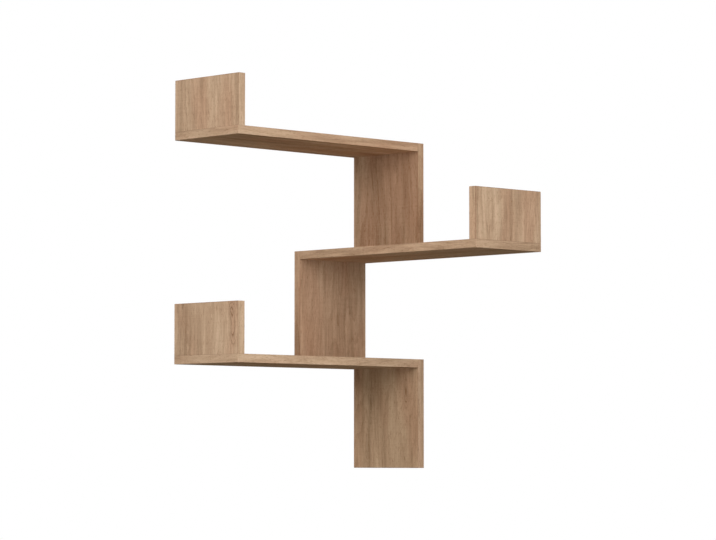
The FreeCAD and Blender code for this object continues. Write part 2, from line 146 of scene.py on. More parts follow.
def colour_ramp(material, value, *stops):
    """Colours in a row, by a value. Each stop has its value and its colour."""
    ramp = add(material, "ShaderNodeValToRGB", Fac=value)
    elements = ramp.color_ramp.elements
    elements[0].position, elements[0].color = stops[0]
    elements[1].position, elements[1].color = stops[-1]
    for position, shown in stops[1:-1]:
        elements.new(position).color = shown
    return ramp.outputs[0]


def colour(red, green, blue):
    """A colour as a colour picker gives it, 0 to 255, turned into the light it reflects."""
    parts = [value / 255 for value in (red, green, blue)]
    light = [part / 12.92 if part <= 0.04045 else ((part + 0.055) / 1.055) ** 2.4 for part in parts]
    return light + [1.0]


print("a grey of 128 reflects", round(colour(128, 128, 128)[0], 3), "of the light")

# %% [markdown]
# ## The oak grain
#
# The boards aren't solid oak. They are chipboard under a printed foil, and the print is a light,
# greyish brown oak with saw marks across it. A photograph of the print could be wrapped round the
# boards, but a pattern made by nodes stays sharp at any distance and never repeats.
#
# Grain is noise that has been pulled out along one direction. Several layers are laid over each
# other: broad bands, streaks about a centimetre wide, fine lines, and dark pores that are short
# dashes. A slow and a quick wandering of the place bend them all, because no tree grows straight.

# %% Noise that is pulled out along the grain
def pull_out(material, place, width, length):
    """The place, scaled so that one spot of noise is so wide across the grain and so long along it."""
    scale = (1 / width, 1 / width, 1 / length)
    return add(material, "ShaderNodeMapping", Vector=place, Scale=scale).outputs[0]


def stretched_noise(material, place, width, length, detail=2.0, rough=0.5):
    """Noise with spots of a width and a length in metres."""
    pulled = pull_out(material, place, width, length)
    noise = add(material, "ShaderNodeTexNoise", Vector=pulled, Scale=1.0, Detail=detail, Roughness=rough)
    return noise.outputs["Fac"]


# %% The way the grain wanders
TURN_TO_GRAIN = {"X": (0, -math.pi / 2, 0), "Y": (math.pi / 2, 0, 0), "Z": (0, 0, 0)}
# How wide and how long a bend is, and how far it reaches.
SLOW_BEND = (0.08, 0.30, 0.030)
QUICK_BEND = (0.016, 0.045, 0.004)


def wandering(material, place, width, length, reach):
    """The place, moved sideways by up to about a third of the reach."""
    pulled = pull_out(material, place, width, length)
    drift = add(material, "ShaderNodeTexNoise", Vector=pulled, Scale=1.0, Detail=1.0).outputs["Color"]
    centred = add(material, "ShaderNodeVectorMath", {"operation": "SUBTRACT"}, Vector=drift)
    centred.inputs[1].default_value = (0.5, 0.5, 0.5)
    moved = add(material, "ShaderNodeVectorMath", {"operation": "MULTIPLY_ADD"})
    feed(material, moved.inputs[0], centred.outputs[0])
    moved.inputs[1].default_value = (reach, reach, 0.0)
    feed(material, moved.inputs[2], place)
    return moved.outputs[0]


def turned_to_grain(material, grain, shift=(0.0, 0.0, 0.0)):
    """Object coordinates, turned so that the grain runs along Z, and shifted."""
    here = add(material, "ShaderNodeTexCoord").outputs["Object"]
    turn = TURN_TO_GRAIN[grain]
    return add(material, "ShaderNodeMapping", Vector=here, Rotation=turn, Location=shift).outputs[0]


# %% [markdown]
# The nested arches of a plank come from growth rings that the saw cut at a slant. The same arches
# appear when a slowly changing value is counted off in equal steps, like the height lines of a map.
# A knot is then a small hill in that value, and the lines close round it by themselves. A fine
# ripple keeps the lines from being smoother than wood ever is. Each ring darkens slowly and ends
# sharply, as summer wood does.

# %% Growth rings
RINGS = 11.0
RING_FIELD, RIPPLE_SPOTS = (0.060, 0.50, 1.0), (0.004, 0.012, 2.0)
RIPPLE, KNOT_HILL = 0.045, 0.22
RING_SHARPNESS = 3.0


def growth_rings(material, place, knots):
    """The dark share of each ring, and how near the place is to a knot, both from 0 to 1."""
    field = stretched_noise(material, place, *RING_FIELD)
    ripple = stretched_noise(material, place, *RIPPLE_SPOTS)
    field = calculate(material, "ADD", field, calculate(material, "MULTIPLY", ripple, RIPPLE))
    near = 0.0
    for middle, width, length in knots:
        scale = Vector((1 / width, 1 / width, 1 / length))
        shift = [-at * by for at, by in zip(middle, scale)]
        around = add(material, "ShaderNodeMapping", Vector=place, Scale=scale, Location=shift).outputs[0]
        far = add(material, "ShaderNodeVectorMath", {"operation": "LENGTH"}, Vector=around).outputs["Value"]
        hill = remap(material, far, 0.0, 1.0, 1.0, 0.0, {"interpolation_type": "SMOOTHSTEP"})
        near = calculate(material, "ADD", near, hill)
        field = calculate(material, "ADD", field, calculate(material, "MULTIPLY", hill, KNOT_HILL))
    step = calculate(material, "FRACT", calculate(material, "MULTIPLY", field, RINGS))
    return calculate(material, "POWER", step, RING_SHARPNESS), near


# %% The layers of the print, and its colours
# A layer's width and length in metres, its detail and roughness, and its weight in the tone.
LAYERS = {
    "bands": (0.045, 0.60, 1.0, 0.5, 0.60),
    "streaks": (0.012, 0.16, 3.0, 0.55, 0.66),
    "lines": (0.0018, 0.06, 2.0, 0.5, 0.32),
    "saw marks": (0.05, 0.0028, 1.0, 0.5, 0.12),
}
PORE_DASHES, ROSY_CLOUDS = (0.0008, 0.012, 1.0), (0.06, 0.25, 1.0)
MIDDLE_TONE, RING_WEIGHT = 0.56, -0.14
KNOT_LINES, KNOT_HEART = 0.40, 0.14
SAW_RELIEF = 0.4
# From where to where in the noise a cloud or a pore sets in, and how strong it is at either end.
ROSY_RANGE, PORE_RANGE = (0.45, 0.65, 0.0, 0.45), (0.62, 0.70, 0.0, 1.0)
OAK = (0.10, colour(140, 110, 85)), (0.50, colour(188, 158, 131)), (0.90, colour(219, 191, 163))
ROSY_TINT, PORE_TINT = colour(248, 230, 226), colour(208, 194, 182)


# %% The tone of the print
def oak_tone(material, place, knots):
    """How light the print is, from 0 to 1, and the layers that it is made of."""
    late_wood, near = growth_rings(material, place, knots)
    tone, layers = MIDDLE_TONE, {}
    for name, (width, length, detail, rough, weight) in LAYERS.items():
        layers[name] = stretched_noise(material, place, width, length, detail, rough)
        part = calculate(material, "MULTIPLY", calculate(material, "SUBTRACT", layers[name], 0.5), weight)
        tone = calculate(material, "ADD", part, tone)
    tone = calculate(material, "ADD", calculate(material, "MULTIPLY", late_wood, RING_WEIGHT), tone)
    if knots:
        lines = calculate(material, "MULTIPLY", late_wood, KNOT_LINES)
        darker = calculate(material, "ADD", lines, KNOT_HEART)
        tone = calculate(material, "SUBTRACT", tone, calculate(material, "MULTIPLY", near, darker))
    return calculate(material, "ADD", tone, 0.0, clamp=True), layers


# %% The whole print
def oak_print(material, grain, shift, knots, painted_shade):
    """Colour and height of the printed oak, darkened by its painted shade."""
    shifted = turned_to_grain(material, grain, shift)
    place = wandering(material, wandering(material, shifted, *SLOW_BEND), *QUICK_BEND)
    tone, layers = oak_tone(material, place, knots)
    rosy = remap(material, stretched_noise(material, place, *ROSY_CLOUDS), *ROSY_RANGE)
    pores = remap(material, stretched_noise(material, place, *PORE_DASHES), *PORE_RANGE)
    printed = blend_colours(material, rosy, colour_ramp(material, tone, *OAK), ROSY_TINT, "MULTIPLY")
    printed = blend_colours(material, pores, printed, PORE_TINT, "MULTIPLY")
    # Painted shade is multiplied over the print here.
    printed = blend_colours(material, 1.0, printed, painted_shade, "MULTIPLY")
    height = calculate(material, "MULTIPLY", layers["saw marks"], SAW_RELIEF)
    height = calculate(material, "ADD", height, layers["lines"])
    return printed, calculate(material, "SUBTRACT", height, pores)


# %% [markdown]
# ## The chipboard core
#
# Where a board is cut and no edging covers it, as on its edges at the wall, the core shows: pressed
# wood chips, with a darker speck here and there. The foil is only three tenths of a millimetre
# thick, so a board is core wherever it is deeper than that below its two faces. The shortest side
# of the board's own box tells which faces those are.

# %% Pressed chips
CHIP_WIDTH, CHIP_LENGTH, CHIP_BEND = 0.0009, 0.0034, (0.005, 0.005, 0.0016)
CHIP_WEIGHT, DUST_WEIGHT, DUST_GRAINS = 0.55, 0.45, 1600.0
CHIP_COLOURS = (
    (0.20, colour(156, 124, 93)), (0.30, colour(184, 154, 120)),
    (0.50, colour(205, 178, 144)), (0.80, colour(226, 203, 172)),
)


def chips(material, grain):
    """Colour and height of the pressed chips, which lie along the board."""
    bent = wandering(material, turned_to_grain(material, grain), *CHIP_BEND)
    sized = pull_out(material, bent, CHIP_WIDTH, CHIP_LENGTH)
    flakes = add(material, "ShaderNodeTexVoronoi", {"feature": "F1"}, Vector=sized, Scale=1.0)
    flake_tone = add(material, "ShaderNodeSeparateColor", Color=flakes.outputs["Color"]).outputs[0]
    here = add(material, "ShaderNodeTexCoord").outputs["Object"]
    dust = add(material, "ShaderNodeTexNoise", Vector=here, Scale=DUST_GRAINS, Detail=3.0).outputs["Fac"]
    shade = calculate(material, "MULTIPLY", flake_tone, CHIP_WEIGHT)
    shade = calculate(material, "ADD", shade, calculate(material, "MULTIPLY", dust, DUST_WEIGHT))
    return colour_ramp(material, shade, *CHIP_COLOURS), shade


# %% The share of a board that is core
FOIL = 0.0003


def from_middle(material, node, rank):
    """How far a place is from the middle of a node's box along one side, and half of that side.

    Rank 0 is the box's shortest side, and 2 is its longest.
    """
    low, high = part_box(node)
    sides = high - low
    axis = sorted(range(3), key=lambda side: sides[side])[rank]
    here = add(material, "ShaderNodeTexCoord").outputs["Object"]
    across = add(material, "ShaderNodeSeparateXYZ", Vector=here).outputs[axis]
    offset = calculate(material, "SUBTRACT", across, (low[axis] + high[axis]) / 2)
    return calculate(material, "ABSOLUTE", offset), sides[axis] / 2


def core_share(material, node):
    """1 inside a board and 0 in the foil of its two faces."""
    distance, half = from_middle(material, node, 0)
    return calculate(material, "LESS_THAN", distance, half - FOIL)


# %% [markdown]
# The foil is dead matt. Even a faint sheen would mirror the white studio in the undersides of the
# shelves, which are seen almost edge on, and turn them grey. So its reflection is switched off, and
# what is left is colour and a fine relief.
#
# The uprights are painted slightly darker than the rest. That is painted shade, for the shade that they lie
# in under the shelves and in the corner. A strip gets the painted shade of its board, but for the lowest
# upright, whose strips are as light as the shelves.

# %% The surface of the foil
# The lowest and the highest relief, and the roughness at each of them.
FOIL_ROUGHNESS = (-0.5, 1.2, 0.70, 0.56)
FOIL_BUMP, FOIL_RELIEF = 0.25, 0.0002


def finish_as_foil(material, tint, height):
    """The matt, slightly grained surface that the colour lies on."""
    shader = shader_of(material)
    feed(material, shader.inputs["Base Color"], tint)
    feed(material, shader.inputs["Roughness"], remap(material, height, *FOIL_ROUGHNESS))
    shader.inputs["Specular IOR Level"].default_value = 0.0
    bump = add(material, "ShaderNodeBump", Strength=FOIL_BUMP, Distance=FOIL_RELIEF, Height=height)
    feed(material, shader.inputs["Normal"], bump.outputs[0])


# %% The painted shade of the uprights
NO_PAINTED_SHADE = colour(255, 255, 255)
# Painted shade: these tints darken the uprights, as the shade under the shelves would.
UPRIGHT_PAINTED_SHADES = {
    "bottom_upright": colour(247, 244, 238),
    "middle_upright": colour(244, 239, 237),
    "top_upright": colour(236, 231, 227),
}


def painted_shade_of(node):
    """The painted shade that darkens a board or strip, or white for none."""
    if node.startswith("bottom_upright_"):
        return NO_PAINTED_SHADE
    return next((tint for board, tint in UPRIGHT_PAINTED_SHADES.items() if node.startswith(board)), NO_PAINTED_SHADE)


# %% Boards: the print over the core
def paint(node, material):
    """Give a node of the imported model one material, and no other."""
    NODES[node].data.materials.clear()
    NODES[node].data.materials.append(material)


def paint_board(node, grain, shift, knots):
    """Give a board its own stretch of the print, over its core."""
    material = new_material(f"faced board, {node.replace('_', ' ')}")
    printed, relief = oak_print(material, grain, shift, knots, painted_shade_of(node))
    pressed, crumbs = chips(material, grain)
    core = core_share(material, node)
    tint = blend_colours(material, core, printed, pressed)
    height = add(material, "ShaderNodeMix", {"data_type": "FLOAT"})
    feed(material, height.inputs["Factor"], core)
    feed(material, height.inputs[2], relief)
    feed(material, height.inputs[3], crumbs)
    finish_as_foil(material, tint, height.outputs[0])
    paint(node, material)


# %% [markdown]
# ## Each board its own stretch of the print
#
# The grain stands upright on the uprights and the end boards, and runs along the shelves. Boards
# are sawn from different places of a large sheet, so the print is shifted by another distance for
# each of them. Many stretches of the print were tried for each board, and the one was kept whose
# lighter and darker parts fall most like those in the photograph. So these distances are measured
# rather than meant: any others would give just as good a board, only another one.
#
# Two boards show a figure. The lowest end board has nested rings near its upper front corner, and
# the lowest upright has two long streaks. A knot is given by its middle, which is a place of the
# shifted print, and by how far it reaches across the grain and along it.

# %% Paint the nine boards
BOARDS = {
    "bottom_upright": ("Z", (2.966, 0.928, 4.361)),
    "middle_upright": ("Z", (2.377, 2.206, 1.996)),
    "top_upright": ("Z", (1.931, 0.350, 2.104)),
    "bottom_end_board": ("Z", (0.839, 1.931, 0.368)),
    "middle_end_board": ("Z", (1.359, 0.947, 3.119)),
    "top_end_board": ("Z", (1.13, 0.37, 0.7)),
    "bottom_shelf": ("Y", (0.0, 0.27, 0.1)),
    "middle_shelf": ("X", (2.377, 0.371, 2.688)),
    "top_shelf": ("Y", (1.570, 2.812, 3.614)),
}
KNOTS = {
    "bottom_upright": [((3.027, 0.904, 4.518), 0.007, 0.040), ((3.138, 0.908, 4.540), 0.013, 0.060)],
    "bottom_end_board": [((1.034, 1.327, 0.729), 0.023, 0.034), ((1.039, 1.326, 0.686), 0.020, 0.062)],
}

for node, (grain, shift) in BOARDS.items():
    paint_board(node, grain, shift, KNOTS.get(node, ()))
print("painted boards:", len(BOARDS))

# %% [markdown]
# ## The edging
#
# The strips on the edges are one millimetre thick, with the same print, and its grain always runs
# along the strip. So each strip is painted by the longest side of its box, and every strip is from
# another stretch of the roll. The strips that the photograph shows have theirs picked like those of
# the boards, and the others simply follow each other. Where a strip was trimmed flush with the
# board, its two long edges show as fine darker lines, which make the joints readable from afar.

# %% Where each strip lies on the roll
ROLL_ACROSS, ROLL_STEP = (0.17, 0.39), 0.211
ROLL_PLACES = {
    "bottom_end_board_front_strip": (2.188, 2.831, 2.528),
    "bottom_shelf_end_strip": (2.495, 0.985, 1.587),
    "bottom_shelf_front_strip": (2.174, 0.234, 4.324),
    "bottom_upright_front_strip": (1.322, 2.515, 0.419),
    "middle_end_board_front_strip": (0.304, 1.910, 1.311),
    "middle_shelf_end_strip": (1.097, 0.857, 3.276),
    "middle_upright_front_strip": (2.409, 2.483, 3.839),
    "top_end_board_front_strip": (1.651, 2.305, 2.437),
    "top_shelf_end_strip": (0.533, 1.678, 2.237),
    "top_shelf_front_strip": (1.828, 1.631, 3.670),
    "top_upright_front_strip": (1.109, 0.857, 3.745),
}


# %% Paint the strips
TRIM_LINE = 0.0005
TRIMMED = colour(206, 196, 188)


def trimmed_share(material, node):
    """1 on the two long edges of a strip and 0 between them."""
    distance, half = from_middle(material, node, 1)
    return calculate(material, "GREATER_THAN", distance, half - TRIM_LINE)


def paint_strip(node, number):
    """Give a strip its own stretch of the roll, which runs along it."""
    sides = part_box(node)[1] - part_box(node)[0]
    grain = "XYZ"[max(range(3), key=lambda axis: sides[axis])]
    material = new_material(f"edging, {node.replace('_', ' ')}")
    place = ROLL_PLACES.get(node, (*ROLL_ACROSS, ROLL_STEP * number))
    printed, relief = oak_print(material, grain, place, (), painted_shade_of(node))
    tint = blend_colours(material, trimmed_share(material, node), printed, TRIMMED, "MULTIPLY")
    finish_as_foil(material, tint, relief)
    paint(node, material)


strips = sorted(name for name in NODES if name.endswith("_strip"))
for number, name in enumerate(strips):
    paint_strip(name, number)
print("painted strips:", len(strips))

# %% [markdown]
# ## The fittings
#
# The screws, cams, bolts, dowels and hangers sit inside the boards, and only their outer ends show,
# most of them from the wall side. The hangers, screws and bolts are bright zinc-plated steel, the
# cams are bare cast zinc, which is greyer and grainy, the dowels are beech, and the covers over the
# cams are plastic in the colour of the boards.

# %% Metals
# Where in the noise the polish starts and stops to change.
CLOUDS = (0.3, 0.7)
METAL_BUMP, METAL_RELIEF = 0.15, 0.0001


def metal(name, light, dark, smooth, coarse, grains):
    """A metal whose colour and polish vary between two values in small clouds."""
    material = new_material(name)
    here = add(material, "ShaderNodeTexCoord").outputs["Object"]
    clouds = add(material, "ShaderNodeTexNoise", Vector=here, Scale=grains, Detail=4.0).outputs["Fac"]
    shader = shader_of(material)
    shader.inputs["Metallic"].default_value = 1.0
    feed(material, shader.inputs["Base Color"], blend_colours(material, clouds, dark, light))
    feed(material, shader.inputs["Roughness"], remap(material, clouds, *CLOUDS, coarse, smooth))
    bump = add(material, "ShaderNodeBump", Strength=METAL_BUMP, Distance=METAL_RELIEF, Height=clouds)
    feed(material, shader.inputs["Normal"], bump.outputs[0])
    return material


PLATED_STEEL = metal(
    "zinc-plated steel", colour(198, 201, 206), colour(166, 167, 164),
    smooth=0.24, coarse=0.40, grains=260.0,
)
CAST_ZINC = metal(
    "cast zinc", colour(186, 188, 192), colour(150, 151, 154),
    smooth=0.40, coarse=0.60, grains=1500.0,
)
print("metals:", PLATED_STEEL.name, "and", CAST_ZINC.name)


# %% Beech
BEECH_FLECKS = (0.0006, 0.004, 2.0)
BEECH_COLOURS = (0.35, colour(196, 158, 112)), (0.60, colour(226, 196, 152))


def beech():
    """Pale wood with short darker flecks along the dowels, which stand upright."""
    material = new_material("beech")
    here = add(material, "ShaderNodeTexCoord").outputs["Object"]
    flecks = stretched_noise(material, here, *BEECH_FLECKS)
    finish_as_foil(material, colour_ramp(material, flecks, *BEECH_COLOURS), flecks)
    return material


# %% Plastic
MOULD_GRAINS = 2600.0
PLASTIC_DARK, PLASTIC_LIGHT = colour(176, 149, 124), colour(190, 163, 138)


def cover_plastic():
    """Moulded plastic in the boards' colour, with the fine spark-eroded grain of its mould."""
    material = new_material("cover plastic")
    here = add(material, "ShaderNodeTexCoord").outputs["Object"]
    grain = add(material, "ShaderNodeTexNoise", Vector=here, Scale=MOULD_GRAINS, Detail=2.0).outputs["Fac"]
    finish_as_foil(material, blend_colours(material, grain, PLASTIC_DARK, PLASTIC_LIGHT), grain)
    return material


# %% Paint the fittings
BEECH = beech()
COVER_PLASTIC = cover_plastic()
FITTINGS = {
    "confirmat_screws": PLATED_STEEL,
    "hanger_plates": PLATED_STEEL,
    "end_board_cam_bolts": PLATED_STEEL,
    "end_board_cams": CAST_ZINC,
    "end_board_dowels": BEECH,
    "upright_dowels": BEECH,
    "end_board_cam_covers": COVER_PLASTIC,
}
for name, material in FITTINGS.items():
    paint(name, material)
print("painted fittings:", len(FITTINGS))

# %% [markdown]
# ## The bench
#
# The small pieces are modelled by hand at a bench in the corner of the room: a primitive is set
# down at its size, opened for editing, shaped, and only then carried to its places. The helpers do
# what a hand does without thinking: setting down one thing with nothing else picked up, picking the
# faces or edges that lie in a certain place, and drawing out a round face step by step, as a lathe
# would leave it.

# %% Start, pick and put away
MODES = {"faces": "FACE", "edges": "EDGE", "verts": "VERT"}
SMOOTH_UP_TO = math.radians(35)


def set_down(primitive, **values):
    """Start a piece from one primitive, open for editing."""
    if bpy.context.mode != "OBJECT":
        bpy.ops.object.mode_set(mode="OBJECT")
    bpy.ops.object.select_all(action="DESELECT")
    primitive(**values)
    bpy.ops.object.transform_apply(location=True, rotation=True, scale=True)
    bpy.ops.object.mode_set(mode="EDIT")
    return bpy.context.object


def pick(kind, test):
    """Select only the faces, edges or verts of the open piece that pass the test."""
    bpy.ops.mesh.select_mode(type=MODES[kind])
    bpy.ops.mesh.select_all(action="DESELECT")
    mesh = bmesh.from_edit_mesh(bpy.context.object.data)
    chosen = [item for item in getattr(mesh, kind) if test(item)]
    for item in chosen:
        item.select_set(True)
    mesh.select_flush_mode()
    bmesh.update_edit_mesh(bpy.context.object.data)
    return len(chosen)


def put_away(piece, name, material):
    """Close a piece after editing, with its name, its finish and smooth curves."""
    bpy.ops.object.mode_set(mode="OBJECT")
    piece.name = name
    piece.data.materials.append(material)
    bpy.ops.object.shade_smooth_by_angle(angle=SMOOTH_UP_TO)
    print(name, len(piece.data.polygons), "faces")


# %% Draw out and cut out
def draw_out(steps, start, radius_now):
    """Pull the picked round face along -Y. Each step has its depth from the start, and a radius."""
    depth_now = 0.0
    for depth, radius in steps:
        bpy.ops.mesh.extrude_region_move(TRANSFORM_OT_translate={"value": (0, depth_now - depth, 0)})
        narrower = radius / radius_now
        bpy.ops.transform.resize(value=(narrower, 1, narrower), center_override=(0, start - depth, 0))
        depth_now, radius_now = depth, radius
    bpy.ops.mesh.select_all(action="SELECT")
    bpy.ops.mesh.normals_make_consistent(inside=False)


def cut_out(piece, cutter):
    """Take the cutter's shape out of the piece, and the cutter off the bench."""
    bpy.ops.object.mode_set(mode="OBJECT")
    bpy.ops.object.select_all(action="DESELECT")
    piece.select_set(True)
    bpy.context.view_layer.objects.active = piece
    boolean = piece.modifiers.new("cut", "BOOLEAN")
    boolean.operation = "DIFFERENCE"
    boolean.solver = "EXACT"
    boolean.object = cutter
    bpy.ops.object.modifier_apply(modifier=boolean.name)
    bpy.data.objects.remove(cutter)


# %% Carry to its place
def carry(piece, name, place, quarter_turns=0):
    """A copy of a piece with its own mesh, turned about the upright axis and set in its place."""
    bpy.ops.object.select_all(action="DESELECT")
    piece.select_set(True)
    bpy.context.view_layer.objects.active = piece
    bpy.ops.object.duplicate(linked=False)
    copy = bpy.context.object
    copy.name = name
    copy.location = place
    copy.rotation_euler.z = quarter_turns * math.pi / 2
    bpy.ops.object.transform_apply(location=True, rotation=True, scale=True)
    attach(copy, "root")
    return copy


# %% [markdown]
# ## Places on the unit
#
# The three tiers are alike, but the middle one runs along the right wall and the others along the
# left one. So the place of a fitting is given once for all the tiers: as the distance along the
# tier's own wall, the distance out of that wall, and the height above the level at which the tier
# starts. One function turns that into a place in the room.

# %% From a tier to the room
# The driving sizes of the unit, in metres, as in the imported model.
REACH, DEPTH, TIER_HEIGHT, END_BOARD_HEIGHT, BOARD = 0.60, 0.22, 0.26, 0.12, 0.02
END_MIDDLE = REACH - BOARD / 2
# The level at which a tier starts, and whether it runs along the right wall.
TIERS = {"bottom": (0.0, False), "middle": (TIER_HEIGHT, True), "top": (2 * TIER_HEIGHT, False)}


def in_room(along, out, height, tier):
    """A place of a tier, in the frame of the room."""
    base, on_right_wall = TIERS[tier]
    return (along, -out, base + height) if on_right_wall else (out, -along, base + height)


print("top of the highest end board:", in_room(REACH, 0, TIER_HEIGHT + END_BOARD_HEIGHT, "top")[2], "m")

# %% [markdown]
# ## The hangers
#
# Each hanger is a steel plate that is stamped in one blow: rounded corners, a keyhole and two
# countersunk holes. The head of the wall screw goes in through the round part of the keyhole, and
# the narrow part then slides down over its neck, so the unit hangs by its own weight. On the bench
# the plate stands with its outer face on the wall plane and looks towards +Y.

# %% Stamp the plate
PLATE_WIDTH, PLATE_HEIGHT, PLATE_DEPTH = 0.015, 0.045, 0.0015
PLATE_SINK = 0.0001
PLATE_CORNER, PLATE_EDGE = 0.003, 0.0002
TOLERANCE = 1e-6

plate_middle = -PLATE_SINK - PLATE_DEPTH / 2
plate = set_down(
    bpy.ops.mesh.primitive_cube_add, size=1, location=(0, plate_middle, 0),
    scale=(PLATE_WIDTH, PLATE_DEPTH, PLATE_HEIGHT),
)
pick("edges", lambda edge: abs(edge.verts[0].co.y - edge.verts[1].co.y) > PLATE_DEPTH / 2)
bpy.ops.mesh.bevel(offset=PLATE_CORNER, segments=6, affect="EDGES")
outer_face = -PLATE_SINK - TOLERANCE
pick("edges", lambda edge: all(vert.co.y > outer_face for vert in edge.verts))
bpy.ops.mesh.bevel(offset=PLATE_EDGE, segments=2, affect="EDGES")

# %% Cut its keyhole and countersinks
KEYHOLE_RADIUS, SLOT_WIDTH = 0.005, 0.005
KEYHOLE_LOW, SLOT_HIGH = -0.004, 0.007
SCREW_OFFSET = 0.0172
COUNTERSINK = {"radius1": 0.00149, "radius2": 0.00353, "depth": 0.0018, "vertices": 32}
COUNTERSINK_MIDDLE = -0.0008

for radius, height in ((KEYHOLE_RADIUS, KEYHOLE_LOW), (SLOT_WIDTH / 2, SLOT_HIGH)):
    cut_out(plate, set_down(
        bpy.ops.mesh.primitive_cylinder_add, vertices=48, radius=radius, depth=3 * PLATE_DEPTH,
        location=(0, plate_middle, height), rotation=(math.pi / 2, 0, 0),
    ))
cut_out(plate, set_down(
    bpy.ops.mesh.primitive_cube_add, size=1, location=(0, plate_middle, (KEYHOLE_LOW + SLOT_HIGH) / 2),
    scale=(SLOT_WIDTH, 3 * PLATE_DEPTH, SLOT_HIGH - KEYHOLE_LOW),
))
for side in (-1, 1):
    cut_out(plate, set_down(
        bpy.ops.mesh.primitive_cone_add, location=(0, COUNTERSINK_MIDDLE, side * SCREW_OFFSET),
        rotation=(-math.pi / 2, 0, 0), **COUNTERSINK,
    ))
put_away(plate, "hanger_plate", PLATED_STEEL)

# %% [markdown]
# A small countersunk screw is drawn out of its own head: a round face is pulled inwards step by
# step, and made narrower or wider at each step, down to the tip. The cross in its head is cut by
# two flat wedges.

# %% Turn the screw
HEAD_PLANE, HEAD_RADIUS = -0.00012, 0.0032
CREST, ROOT, PITCH, TURNS = 0.0015, 0.0011, 0.0009, 9
FIRST_CREST, FIRST_ROOT = 0.0026, 0.0031
SCREW_STEPS = [(0.0002, HEAD_RADIUS), (0.0016, 0.0014), (0.0022, 0.0012)]
for turn in range(TURNS):
    SCREW_STEPS += [(FIRST_CREST + PITCH * turn, CREST), (FIRST_ROOT + PITCH * turn, ROOT)]
SCREW_STEPS += [(0.0118, 0.0008), (0.0130, 0.0001)]

screw = set_down(
    bpy.ops.mesh.primitive_circle_add, vertices=24, radius=HEAD_RADIUS, fill_type="NGON",
    location=(0, HEAD_PLANE, 0), rotation=(math.pi / 2, 0, 0),
)
pick("faces", lambda face: True)
draw_out(SCREW_STEPS, HEAD_PLANE, HEAD_RADIUS)

# %% Cut its cross
CROSS_LENGTH, CROSS_DEPTH, CROSS_WIDTH, CROSS_TAPER = 0.0036, 0.0014, 0.0009, 0.4
CROSS_MIDDLE, CROSS_BOTTOM = HEAD_PLANE - 0.0004, HEAD_PLANE - 0.0011
for turned in (0, math.pi / 2):
    wedge = set_down(
        bpy.ops.mesh.primitive_cube_add, size=1, location=(0, CROSS_MIDDLE, 0), rotation=(0, turned, 0),
        scale=(CROSS_LENGTH, CROSS_DEPTH, CROSS_WIDTH),
    )
    pick("faces", lambda face: face.normal.y < -0.9)
    taper = (CROSS_TAPER, 1, CROSS_TAPER)
    bpy.ops.transform.resize(value=taper, center_override=(0, CROSS_BOTTOM, 0))
    cut_out(screw, wedge)
put_away(screw, "hanger_screw", PLATED_STEEL)

# %% [markdown]
# Each upright and each end board has a hanger. An upright lies flat on one wall and the end board of
# its tier touches the other one, so three hangers look at each wall. A plate that looks at the left
# wall is turned by a quarter. The pieces on the bench were only patterns, so they go away at the end.

# %% Hang them in their recesses
# How far the middle of a hanger lies below the top of its board.
UPRIGHT_DROP, END_BOARD_DROP = 0.060, 0.050
HANGERS = {
    "upright": (0, DEPTH / 2, TIER_HEIGHT - UPRIGHT_DROP),
    "end_board": (END_MIDDLE, 0, TIER_HEIGHT + END_BOARD_HEIGHT - END_BOARD_DROP),
}
HANGER_PIECES = (
    (plate, "hanger_plate", 0),
    (screw, "hanger_screw_low", -SCREW_OFFSET),
    (screw, "hanger_screw_high", SCREW_OFFSET),
)


def hang(tier, board, turns):
    """A plate and its two screws, in the wall side of a board."""
    along, out, height = HANGERS[board]
    for pattern, name, offset in HANGER_PIECES:
        copy = carry(pattern, f"{tier}_{board}_{name}", in_room(along, out, height + offset, tier), turns)
        if pattern is plate:
            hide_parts("hanger_plates")


for tier, (_, on_right_wall) in TIERS.items():
    hang(tier, "upright", 1 if on_right_wall else 0)
    hang(tier, "end_board", 0 if on_right_wall else 1)
for pattern in (plate, screw):
    bpy.data.objects.remove(pattern)

# %% [markdown]
# ## The cam covers
#
# A moulded cover isn't a plain disc. Its edge is rounded, so that it doesn't catch a duster, and
# its face is a shallow dish inside a raised rim, which hides the sink marks of the moulding.

# %% Mould the cover
COVER_RADIUS, COVER_DEPTH = 0.009, 0.0016
COVER_EDGE, RIM_WIDTH, RIM_SLOPE, DISH_DEPTH = 0.0006, 0.0009, 0.0004, 0.00025
DISH_RINGS, DISH_RISE = (0.0015, 0.0018, 0.0016), 0.00004
cover = set_down(
    bpy.ops.mesh.primitive_cylinder_add, vertices=64, radius=COVER_RADIUS, depth=COVER_DEPTH,
    location=(0, COVER_DEPTH / 2, 0), rotation=(math.pi / 2, 0, 0),
)
pick("edges", lambda edge: all(vert.co.y > COVER_DEPTH / 2 for vert in edge.verts))
bpy.ops.mesh.bevel(offset=COVER_EDGE, segments=5, affect="EDGES")
pick("faces", lambda face: face.normal.y > 0.99)
bpy.ops.mesh.inset(thickness=RIM_WIDTH)
bpy.ops.mesh.inset(thickness=RIM_SLOPE)
bpy.ops.transform.translate(value=(0, -DISH_DEPTH, 0))
for width in DISH_RINGS:
    bpy.ops.mesh.inset(thickness=width)
    bpy.ops.transform.translate(value=(0, DISH_RISE, 0))
put_away(cover, "cam_cover", COVER_PLASTIC)

# %% Snap the covers on
CAM_ABOVE_SHELF = 0.034
for tier, (_, on_right_wall) in TIERS.items():
    place = in_room(REACH - BOARD, DEPTH / 2, TIER_HEIGHT + CAM_ABOVE_SHELF, tier)
    copy = carry(cover, f"{tier}_cam_cover", place, 1 if on_right_wall else 0)
    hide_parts("end_board_cam_covers")
bpy.data.objects.remove(cover)

